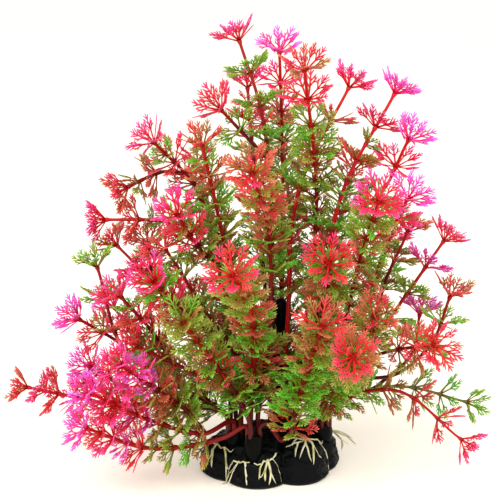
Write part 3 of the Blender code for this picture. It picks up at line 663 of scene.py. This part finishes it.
def lay_leaves(template, leaves):
    """Bends one leaf template onto every leaf place at once. The leaves are rows of leaf_arrays.

    A leaf leaves its hub at the cup angle above the whorl's plane and turns by the curl angle on
    its way, so its rib is an arc: out = (sin(cup + curl u) - sin cup) / curl and up = (cos cup -
    cos(cup + curl u)) / curl, for the share u of its length. The leaf's width lies across the
    arc, turned about the rib by the roll angle and swung sideways by the lean.
    """
    hubs, outs, stems = leaves[:, 0:3], leaves[:, 3:6], leaves[:, 6:9]
    lengths, cups, curls, rolls, leans = leaves[:, 9:14].T
    along, across, up = (template[:, axis][None, :] for axis in range(3))
    share = along / LEAF_REACH
    scale = (lengths / LEAF_REACH)[:, None]
    bend = np.where(np.abs(curls) < LEAST_CURL, LEAST_CURL, curls)[:, None]
    angle = cups[:, None] + bend * share
    out = (np.sin(angle) - np.sin(cups)[:, None]) / bend * lengths[:, None]
    rise = (np.cos(cups)[:, None] - np.cos(angle)) / bend * lengths[:, None]
    across = (across + leans[:, None] * share ** 2 * LEAF_REACH) * scale
    up = up * scale
    flank = np.cross(stems, outs)
    turned_across = across * np.cos(rolls)[:, None] - up * np.sin(rolls)[:, None]
    turned_up = across * np.sin(rolls)[:, None] + up * np.cos(rolls)[:, None]
    normal = -np.sin(angle)[..., None] * outs[:, None] + np.cos(angle)[..., None] * stems[:, None]
    return (hubs[:, None] + out[..., None] * outs[:, None] + rise[..., None] * stems[:, None]
            + turned_across[..., None] * flank[:, None] + turned_up[..., None] * normal)


def whorl_places(name, path):
    """Every whorl of a sprig: distance, size, tone letter and whether it is the tip.

    Small whorls stand between the solid's own ones, and closer ones go on below them down the stem.
    They are kept in the plant's dense middle and in the pink cluster low on the left. Over the rock
    none is larger than its height above the rock's top.
    """
    _, _, count, pitch, tones = SPRIGS[name]
    found = []
    distances = whorl_distances(path, count, pitch)
    for index, distance in enumerate(distances):
        letter = tones[min(count - 1 - index, len(tones) - 1)]
        found.append((distance, CHANCE.uniform(*OWN_SIZES), letter, index == count - 1))
    inner = INNER_TONES[name.split("_")[0]]
    between = [distance + pitch * 0.5 for distance in distances[:-1]]
    below = np.arange(distances[0] - pitch * INNER_PITCH, INNER_FIRST, -pitch * INNER_PITCH)
    for distance in (*between, *below):
        distance = distance + CHANCE.uniform(-INNER_JITTER, INNER_JITTER)
        place = at_distance(path, distance)[0]
        size = CHANCE.uniform(*(BELOW_SIZES if distance < distances[0] else BETWEEN_SIZES))
        if is_above_rock(place):
            size = min(size, (place[2] - ROCK_TOP) / LEAF_REACH)
        far_left = name in LOW_LEFT and place[0] < LOW_LEFT_EDGE
        letter = CHANCE.choice(list(LOW_LEFT_TONES if far_left else inner))
        if far_left or is_inside(place):
            found.append((distance, size, letter, False))
    return found


def is_above_rock(place):
    """Whether a place is over the rock or just beside it."""
    return math.hypot(place[0] / ROCK_HALF[0], place[1] / ROCK_HALF[1]) < 1.0


def hides_post_head(place):
    """Whether a place stands before the post's head, its height taken along the view to the post."""
    x, y, z = place
    shown = z + math.tan(VIEW_TILT) * (y - POST_PLACE[1])
    in_line = abs(x - POST_PLACE[0]) < POST_HEAD_BESIDE and abs(shown - POST_HEAD_HEIGHT) < POST_HEAD_ABOVE
    return in_line and y < POST_PLACE[1]


def is_inside(place):
    """Whether a place is in the plant's dense middle, clear of the rock and of the post's head."""
    x, y, z = place
    lowest = FRONT_LOWEST if y < FRONT_EDGE else INNER_LOWEST
    clear_of_rock = z > (lowest if is_above_rock(place) else OUTER_LOWEST)
    in_core = abs(x - CORE_MIDDLE) < CORE_HALF and z < CORE_TOP
    return clear_of_rock and in_core and not hides_post_head(place)


def leaf_tiers(name, tip):
    """The tiers of a whorl: how many leaves, their length, their cup and their lift up the stem."""
    leaves = LEAVES_A_WHORL + (name in LOW_LEFT) - FEWER_WHEN_SPARSE * (name in SPARSE)
    if not tip:
        return [(leaves, 1.0, WHORL_CUP, 0.0)]
    bud = (BUD_LEAVES, BUD_LENGTH, BUD_CUP, BUD_LIFT)
    if name in OPEN_TIPS:
        return [(leaves, OPEN_TIP_LENGTH, OPEN_TIP_CUP, 0.0), bud]
    return [(leaves, 1.0, TIP_CUP, 0.0), bud]


def leaf_arrays(name, path, places):
    """One row a leaf: its hub, way out, stem's way, length, cup, curl, roll, lean and tone."""
    rows = []
    own = whorl_distances(path, *SPRIGS[name][2:4])
    distances = sorted(distance for distance, *_ in places)
    sides = dict(zip(distances, carried_sides(path, distances)))
    for distance, size, letter, tip in places:
        hub, direction = at_distance(path, distance)
        if distance not in own:
            direction = unit(direction + CHANCE.normal(0.0, WHORL_TILT, 3))
        side = unit(np.cross(np.cross(direction, sides[distance]), direction))
        other = np.cross(direction, side)
        turn = CHANCE.uniform(0, 2 * math.pi)
        for count, longer, cup, lift in leaf_tiers(name, tip):
            for step in range(count):
                angle = turn + 2 * math.pi * (step + CHANCE.uniform(-STEP_JITTER, STEP_JITTER)) / count
                out = math.cos(angle) * side + math.sin(angle) * other
                length = LEAF_REACH * size * longer * CHANCE.uniform(*LEAF_LENGTHS)
                rows.append((
                    *(hub + direction * lift), *out, *direction, length,
                    math.radians(cup + CHANCE.uniform(-CUP_JITTER_DEG, CUP_JITTER_DEG)),
                    math.radians(CHANCE.uniform(*CURLS_DEG)),
                    math.radians(CHANCE.uniform(-ROLL_JITTER_DEG, ROLL_JITTER_DEG)),
                    CHANCE.uniform(-LEAN_JITTER, LEAN_JITTER),
                    TONES[letter] + CHANCE.uniform(-1.0, 1.0) * TONE_SPREAD[letter],
                ))
    return np.array(rows)


def hub_tone(tone):
    """The tone of a leaf's stalk: brown on greenish leaves, pink on magenta ones, else red."""
    reddish = np.where(tone > MAGENTA_ABOVE, PINK_STALK, RED_STALK)
    return np.where(tone < GREENISH_BELOW, BROWN_STALK, reddish)


def grow_leaves(name, path, places, templates):
    """All leaves of a sprig: points, faces, then each point's tone and share of its leaf's length.

    The tone turns from the stalk's to the leaf's own, sooner on the greenish ones.
    """
    rows = leaf_arrays(name, path, places)
    points, quads, triangles, tones, shares = [], [], [], [], []
    count = 0
    for kind, (template, (template_quads, template_triangles)) in enumerate(templates):
        mine = rows[kind::len(templates)]
        share = np.clip(template[:, 0] / LEAF_REACH, 0.0, 1.0)[None, :]
        tip_tone = mine[:, 14:]
        span = np.where(tip_tone < GREENISH_BELOW, GREENISH_MIX, REDDISH_MIX)
        mixed = np.clip((share - STALK_SHARE) / span, 0.0, 1.0)
        tone = hub_tone(tip_tone) * (1.0 - mixed) + tip_tone * mixed
        starts = count + np.arange(len(mine)) * len(template)
        points.append(lay_leaves(template, mine).reshape(-1, 3))
        quads.append((template_quads[None] + starts[:, None, None]).reshape(-1, 4))
        triangles.append((template_triangles[None] + starts[:, None, None]).reshape(-1, 3))
        tones.append(tone.ravel())
        shares.append(np.broadcast_to(share, tone.shape).ravel())
        count += len(mine) * len(template)
    points = np.vstack(points)
    points[:, 2] = np.maximum(points[:, 2], LEAF_FLOOR)
    return points, [np.vstack(quads), np.vstack(triangles)], np.concatenate(tones), np.concatenate(shares)


# Rock, plugs and post
def rock_height(x, y):
    """Height of the rock: the highest of its lobes, each a steep round loaf, with low ripples.

    A loaf's height, as a share of its middle's, is (1 - away ** steepness) ** roundness, where away
    is the distance from its middle as a share of its radius.
    """
    wave_x, wave_y = ROCK_RIPPLE_WAVES
    best = np.zeros_like(x)
    for centre_x, centre_y, radius, height in ROCK_LOBES:
        away = np.hypot(x - centre_x, y - centre_y) / radius
        inside = np.clip(1.0 - away, 0.0, 1.0)
        ripple = ROCK_RIPPLE * np.sin(x / wave_x) * np.sin(y / wave_y) * inside
        fall = np.clip(1.0 - np.minimum(away, 1.0) ** ROCK_LOAF_STEEPNESS, 0.0, 1.0)
        loaf = height * fall ** ROCK_LOAF_ROUNDNESS + ripple
        best = np.maximum(best, np.where(away < 1.0, loaf, 0.0))
    return best


def rock_reach(directions):
    """Distance from the origin to the rock's edge along each direction."""
    reach = np.zeros(len(directions))
    for centre_x, centre_y, radius, _ in ROCK_LOBES:
        along = centre_x * directions[:, 0] + centre_y * directions[:, 1]
        across = centre_x * directions[:, 1] - centre_y * directions[:, 0]
        inside = np.abs(across) < radius
        edge = along + np.sqrt(np.clip(radius ** 2 - across ** 2, 0.0, None))
        reach = np.where(inside, np.maximum(reach, edge), reach)
    return reach


def grain(points):
    """Smooth lumps, about -1 to 1: a sum of sine waves of the grain's sizes in seeded directions."""
    chance = np.random.default_rng(ROCK_SEED)
    total = np.zeros(len(points))
    for size in GRAIN_SIZES:
        heading = unit(chance.normal(size=3)) * 2 * math.pi / size
        total += np.sin(points @ heading + chance.uniform(0, GRAIN_LAST_PHASE)) * size / GRAIN_WEAKENING
    return total


def rock_surface():
    """The rock as rings of its outline, drawn in to a middle point.

    A point at a bearing and a share of the way out stands at the reach of that bearing times the
    share, at the lobes' height, pushed up or down and in or out by small lumps. Its wall bulges
    between the flat underside and the lobes' edge.
    """
    angles = np.arange(ROCK_AROUND) * 2 * math.pi / ROCK_AROUND
    directions = np.stack([np.cos(angles), np.sin(angles), np.zeros(ROCK_AROUND)], axis=1)
    reach = rock_reach(directions)
    shares = np.sin(np.linspace(math.pi / 2, ROCK_MIDDLE, ROCK_RINGS))
    rows = [directions * reach[:, None] * ROCK_FOOT_INSET,
            directions * reach[:, None] * ROCK_BULGE + UP * ROCK_EDGE_HEIGHT * ROCK_BULGE_HEIGHT]
    for share in shares:
        spots = directions * (reach * share)[:, None]
        spots[:, 2] = np.maximum(rock_height(spots[:, 0], spots[:, 1]), ROCK_EDGE_HEIGHT)
        rows.append(spots)
    surface = np.array(rows)
    lumps = grain(surface.reshape(-1, 3)).reshape(surface.shape[:2])
    lumps[0] = 0.0
    surface[..., 2] += lumps * LUMP_RISE * np.clip(surface[..., 2] / LUMP_RISE_FULL, 0.0, 1.0)
    push = 1.0 + LUMP_PUSH * lumps * np.clip(surface[..., 2] / LUMP_PUSH_FULL, 0.0, 1.0)
    surface[..., :2] *= push[..., None]
    top = surface[-1].mean(axis=0)
    return closed_rings(surface, np.zeros(3), top)


def lathe(place, profile):
    """A turned surface from (radius, height) pairs up its side, closed at both ends."""
    angles = np.arange(LATHE_SIDES) * 2 * math.pi / LATHE_SIDES
    radius, height = np.array(profile).T
    rings = np.stack([
        place[0] + radius[:, None] * np.cos(angles),
        place[1] + radius[:, None] * np.sin(angles),
        np.repeat(height[:, None], LATHE_SIDES, axis=1),
    ], axis=-1)
    middle = np.array([place[0], place[1], 0.0])
    return closed_rings(rings, middle + UP * height[0], middle + UP * height[-1])


def rounded(radius, top, narrow):
    """A plug's side: straight, drawn in to its top by the narrow share, with a rounded rim."""
    across, up = narrow * radius - RIM_EDGE, top - RIM_EDGE
    turns = np.linspace(0.0, math.pi / 2, RIM_POINTS)
    rim = [(across + RIM_EDGE * math.cos(turn), up + RIM_EDGE * math.sin(turn)) for turn in turns]
    neck = (0.5 * (1 + narrow) * radius, top - NECK_DEPTH)
    return [(radius, PLUG_BOTTOM), (radius, top - SHOULDER_DEPTH), neck, *rim]


# Roots
def ground_height(tree, spots):
    """Height of the rock under each level place."""
    heights = []
    for spot in spots:
        hit = tree.ray_cast(Vector((spot[0], spot[1], RAY_START)), Vector((0, 0, -1)))[0]
        heights.append(hit[2] if hit is not None else 0.0)
    return np.array(heights)


def ribbon(line, widths, thickness):
    """A flat ribbon with a raised middle along a line of places, closed by a point at each end.

    At every place stand four points: left, top, right, bottom, with left and right a half width
    away and level.
    """
    run = np.gradient(line, axis=0)
    across = np.cross(UP, run)
    across = across / np.linalg.norm(across, axis=1)[:, None]
    rise = UP * thickness
    half = across * widths[:, None] / 2
    top, bottom = line + rise * RIBBON_TOP, line - rise * RIBBON_BOTTOM
    start, end = RIBBON_ENDS
    start_pole = line[0] - (line[1] - line[0]) * start
    end_pole = line[-1] + (line[-1] - line[-2]) * end
    return closed_rings(np.stack([line + half, top, line - half, bottom], axis=1), start_pole, end_pole)


def grow_tuft(place, lift, fall, fingers, tree):
    """Cream ribbons from one place over the rock, each forked into two prongs near its middle.

    A ribbon follows its bearing, swinging a little, and lies on the rock, but never falls more
    steeply than the tuft's fall, with a low arch between its ends. It narrows at its tip.
    """
    pieces = []
    hub = np.array([place[0], place[1], 0.0])
    share = np.linspace(0.0, 1.0, ROOT_POINTS)
    for angle, length in fingers:
        swing = CHANCE.uniform(-ROOT_SWING_DEG, ROOT_SWING_DEG)
        fork = ROOT_FORK + CHANCE.uniform(-ROOT_FORK_JITTER, ROOT_FORK_JITTER)
        reach = length + ROOT_PAST_TIP
        for side in (-1, 1):
            spread = side * ROOT_PRONG_DEG * np.clip((share - fork) / (1 - fork), 0.0, 1.0)
            shorter = 1.0 if side < 0 else CHANCE.uniform(*ROOT_PRONG_LENGTHS)
            heading = np.radians(angle + swing * share + spread)
            way = np.stack([np.cos(heading), np.sin(heading), np.zeros(ROOT_POINTS)], axis=1)
            line = hub + way * (reach * shorter * share)[:, None]
            ground = np.maximum(ground_height(tree, line), 0.0) + ROOT_LIFT
            start = ground_height(tree, hub[None])[0] + lift
            line[:, 2] = np.maximum(ground, start - reach * share * fall)
            line[:, 2] += ROOT_ARCH * np.sin(share * math.pi) * CHANCE.uniform(*ROOT_ARCHES)
            narrowing = np.clip((ROOT_TIP_START - share) * ROOT_TIP_TAPER, ROOT_TIP_WIDTH, 1.0)
            widths = ROOT_WIDTH * np.where(share < fork, 1.0, ROOT_PRONG_WIDTH) * narrowing
            pieces.append(ribbon(line, widths, ROOT_THICKNESS))
    points, faces = joined(pieces)
    points[:, 2] = np.maximum(points[:, 2], ROOT_FLOOR)
    return points, faces


# Materials. A mould's real grain is too fine to show, so each plastic has one of 1 to 1.6 mm
def leaf_plastic():
    """Soft polyethylene, moulded and spray-tinted: satin, bright, each leaf shading to its tip.

    The tone, shifted by blotches, picks the colour. A dark row of colours takes over at the stalk,
    and a pale one at the tip, which is the leaves' paler tint there with a painted highlight on top.
    """
    made, tree, shader, blotches, grains = new_material(
        "polyethylene_moulded_spray_tinted", (5.0, 3.0, 0.5), (1.2, 3.0, 0.5),
    )
    tone = node(tree, "ShaderNodeAttribute", "Fac", {}, attribute_name="tone")
    share = node(tree, "ShaderNodeAttribute", "Fac", {}, attribute_name="share")
    inputs = {0: blotches, 1: LEAF_BLOTCH, 2: tone}
    shifted = node(tree, "ShaderNodeMath", "Value", inputs, operation="MULTIPLY_ADD")
    factor = node(tree, "ShaderNodeMath", "Value", {0: shifted, 1: LEAF_BLOTCH / 2}, operation="SUBTRACT")
    colour = node(tree, "ShaderNodeValToRGB", "Color", {"Fac": factor}, LEAF_COLOURS)
    # The dark stalk, then the pale tip, whose extra lightness is a painted highlight
    for reach, colours in LEAF_LAYERS:
        shown = node(tree, "ShaderNodeValToRGB", "Color", {"Fac": share}, reach)
        layer = node(tree, "ShaderNodeValToRGB", "Color", {"Fac": factor}, colours)
        inputs = {MIX_FACTOR: shown, MIX_UNDER: colour, MIX_OVER: layer}
        colour = node(tree, "ShaderNodeMix", MIX_RESULT, inputs, data_type="RGBA")
    relief = {"Height": grains, "Distance": 0.1 * MM, "Strength": 0.3}
    normal = node(tree, "ShaderNodeBump", "Normal", relief)
    connect(tree, shader, {
        "Base Color": colour, "Roughness": 0.42, "IOR": 1.5, "Specular IOR Level": 0.2,
        "Subsurface Weight": 0.25, "Subsurface Radius": (1.0, 0.6, 0.4), "Subsurface Scale": 1.5 * MM,
        "Normal": normal,
    })
    return made


def stem_plastic():
    """Polyethylene stems moulded in dark red: satin, brighter towards the young ends, one olive."""
    made, tree, shader, blotches, grains = new_material(
        "polyethylene_moulded_dark_red", (14.0, 3.0, 0.5), (1.5, 3.0, 0.5),
    )
    along = node(tree, "ShaderNodeAttribute", "Fac", {}, attribute_name="tone")
    inputs = {0: blotches, 1: STEM_BLOTCH, 2: along}
    shifted = node(tree, "ShaderNodeMath", "Value", inputs, operation="MULTIPLY_ADD")
    colour = node(tree, "ShaderNodeValToRGB", "Color", {"Fac": shifted}, (
        (0.00, "#586818"), (0.12, "#5c5014"), (0.22, "#3c0604"), (0.50, "#640a07"), (0.75, "#a0120c"),
        (1.00, "#c60e1a"),
    ))
    relief = {"Height": grains, "Distance": 0.15 * MM, "Strength": 0.4}
    normal = node(tree, "ShaderNodeBump", "Normal", relief)
    connect(tree, shader, {
        "Base Color": colour, "Roughness": 0.36, "IOR": 1.5, "Specular IOR Level": 0.2, "Normal": normal,
    })
    return made


def rock_resin():
    """Weighted resin cast in a rough mould and painted black: satin, with pits and dull dust."""
    made, tree, shader, broad, pits = new_material(
        "resin_cast_black_painted", (12.0, 4.0, 0.5), (2.2, 5.0, 0.6),
    )
    stops = ((0.3, "#010203"), (0.7, "#05080a"))
    colour = node(tree, "ShaderNodeValToRGB", "Color", {"Fac": broad}, stops)
    span = {"Value": pits, "From Min": 0.3, "From Max": 0.7, "To Min": 0.28, "To Max": 0.5}
    rough = node(tree, "ShaderNodeMapRange", "Result", span)
    relief = {"Height": pits, "Distance": 0.9 * MM, "Strength": 0.9}
    normal = node(tree, "ShaderNodeBump", "Normal", relief)
    connect(tree, shader, {
        "Base Color": colour, "Roughness": rough, "Specular IOR Level": 0.08, "Normal": normal,
    })
    return made


def plug_plastic():
    """Black polyethylene plugs, moulded: satin with a faint grain."""
    made, tree, shader, grains = new_material("polyethylene_moulded_black", (1.6, 4.0, 0.5))
    stops = ((0.3, "#010202"), (0.7, "#040606"))
    colour = node(tree, "ShaderNodeValToRGB", "Color", {"Fac": grains}, stops)
    relief = {"Height": grains, "Distance": 0.25 * MM, "Strength": 0.5}
    normal = node(tree, "ShaderNodeBump", "Normal", relief)
    connect(tree, shader, {
        "Base Color": colour, "Roughness": 0.36, "Specular IOR Level": 0.06, "Normal": normal,
    })
    return made


def root_plastic():
    """Cream polyethylene roots, moulded thin: satin, greener in places."""
    made, tree, shader, blotches, grains = new_material(
        "polyethylene_moulded_cream", (6.0, 3.0, 0.5), (1.0, 3.0, 0.5),
    )
    stops = ((0.3, "#a8a860"), (0.5, "#d6d3a2"), (0.7, "#ece8cc"))
    colour = node(tree, "ShaderNodeValToRGB", "Color", {"Fac": blotches}, stops)
    relief = {"Height": grains, "Distance": 0.1 * MM, "Strength": 0.3}
    normal = node(tree, "ShaderNodeBump", "Normal", relief)
    connect(tree, shader, {"Base Color": colour, "Roughness": 0.4, "Normal": normal})
    return made


def floor_paper():
    """Matte backdrop paper, a little warm, which shows only in the shade."""
    made, tree, shader, clouds = new_material("paper_matte_white", (60.0, 3.0, 0.5))
    stops = ((0.3, "#fbf3e6"), (0.7, "#fdf6ea"))
    colour = node(tree, "ShaderNodeValToRGB", "Color", {"Fac": clouds}, stops)
    connect(tree, shader, {
        "Base Color": colour, "Roughness": 0.9, "Emission Color": linear("#fff4e6"),
        "Emission Strength": 0.32,
    })
    return made


# Camera, floor and lights
def set_camera():
    """The photograph's view: slightly from above, straight at the front."""
    data = bpy.data.cameras.new("camera")
    data.lens = VIEW_LENS
    data.sensor_width = VIEW_SENSOR
    data.clip_start = VIEW_CLIP_START * MM
    camera = bpy.data.objects.new("camera", data)
    looking = np.array([0.0, math.cos(VIEW_TILT), -math.sin(VIEW_TILT)])
    camera.location = (VIEW_TARGET - looking * VIEW_DISTANCE) * MM
    camera.rotation_euler = (math.pi / 2 - VIEW_TILT, 0.0, 0.0)
    bpy.context.scene.collection.objects.link(camera)
    bpy.context.scene.camera = camera


def set_floor():
    """A level sheet under the plant."""
    mesh = bpy.data.meshes.new("floor")
    corners = [Vector((x, y, 0)) * FLOOR_HALF * MM for x, y in ((-1, -1), (1, -1), (1, 1), (-1, 1))]
    mesh.from_pydata(corners, [], [(0, 1, 2, 3)])
    mesh.materials.append(floor_paper())
    floor = bpy.data.objects.new("floor", mesh)
    bpy.context.scene.collection.objects.link(floor)


def set_lights():
    """A large soft light from the front left, a wide fill from the right, and a white room.

    A lamp has its place, its size and its power.
    """
    world = bpy.data.worlds.new("room")
    world.use_nodes = True
    world.node_tree.nodes["Background"].inputs["Color"].default_value = linear("#ffffff")
    world.node_tree.nodes["Background"].inputs["Strength"].default_value = 0.85
    bpy.context.scene.world = world
    for name, place, size, power in (
        ("key", (-500, -900, 1100), 900.0, 13.0),
        ("fill", (800, -600, 700), 1000.0, 5.0),
    ):
        data = bpy.data.lights.new(name, "AREA")
        data.size = size * MM
        data.energy = power
        light = bpy.data.objects.new(name, data)
        light.location = Vector(place) * MM
        aim = Vector(LIGHTS_AIM) - Vector(place)
        light.rotation_euler = aim.to_track_quat("-Z", "Y").to_euler()
        bpy.context.scene.collection.objects.link(light)


# Making every piece
def make_rock():
    """The rock, and its search tree for laying the roots on it."""
    points, faces = rock_surface()
    add_piece("rock_skin", points, faces, rock_resin(), "rock_base")
    return BVHTree.FromPolygons(points.tolist(), [face for part in faces for face in part.tolist()])


def make_plugs_and_post(finish):
    """The three plugs, and the post with its foot, thin shaft and knob."""
    for name, (place, radius, top, _) in PLUGS.items():
        points, faces = lathe(place, rounded(radius, top, PLUG_NARROWING))
        add_piece(name + "_body", points, faces, finish, name)
    foot = rounded(POST_FOOT_RADIUS, POST_FOOT_TOP, POST_FOOT_NARROWING)
    points, faces = lathe(POST_PLACE, [*foot, *POST_SHAFT])
    add_piece("centre_post_body", points, faces, finish, "centre_post")


def make_roots(finish, rock_tree):
    """The five root tufts."""
    for name, (place, lift, fall, fingers) in ROOT_TUFTS.items():
        points, faces = grow_tuft(place, lift, fall, fingers, rock_tree)
        add_piece(name + "_ribbons", points, faces, finish, name)


def stem_tones(name, along):
    """The tone along a stem: it rises from foot to tip, and falls on the olive ones."""
    if name in OLIVE_STEMS:
        return OLIVE_TONE - OLIVE_TONE_FALL * along
    return STEM_TONE + STEM_TONE_RISE * along + BRIGHT_STEMS.get(name, 0.0)


def make_sprigs(leaf_finish, stem_finish):
    """Every sprig: its stem and its leaves, which together stand for the sprig's one solid."""
    templates = [leaf_template() for _ in range(LEAF_KINDS)]
    for name, (path, thick, root) in lay_out_paths().items():
        places = whorl_places(name, path)
        fullness = THIN_FULLNESS if name in SPARSE else STEM_FULLNESS
        collars = [(distance, size) for distance, size, *_ in places]
        points, faces, along = stem_surface(path, thick, root, collars, fullness)
        tones = {"tone": stem_tones(name, along)}
        add_piece(name + "_stem", points, faces, stem_finish, name, tones)
        points, faces, tone, share = grow_leaves(name, path, places, templates)
        add_piece(name + "_leaves", points, faces, leaf_finish, name, {"tone": tone, "share": share})


set_camera()
set_floor()
set_lights()
bpy.context.scene.view_settings.view_transform = "Standard"

leaf_finish = leaf_plastic()
stem_finish = stem_plastic()
plug_finish = plug_plastic()
root_finish = root_plastic()
rock_tree = make_rock()
make_plugs_and_post(plug_finish)
make_roots(root_finish, rock_tree)
make_sprigs(leaf_finish, stem_finish)
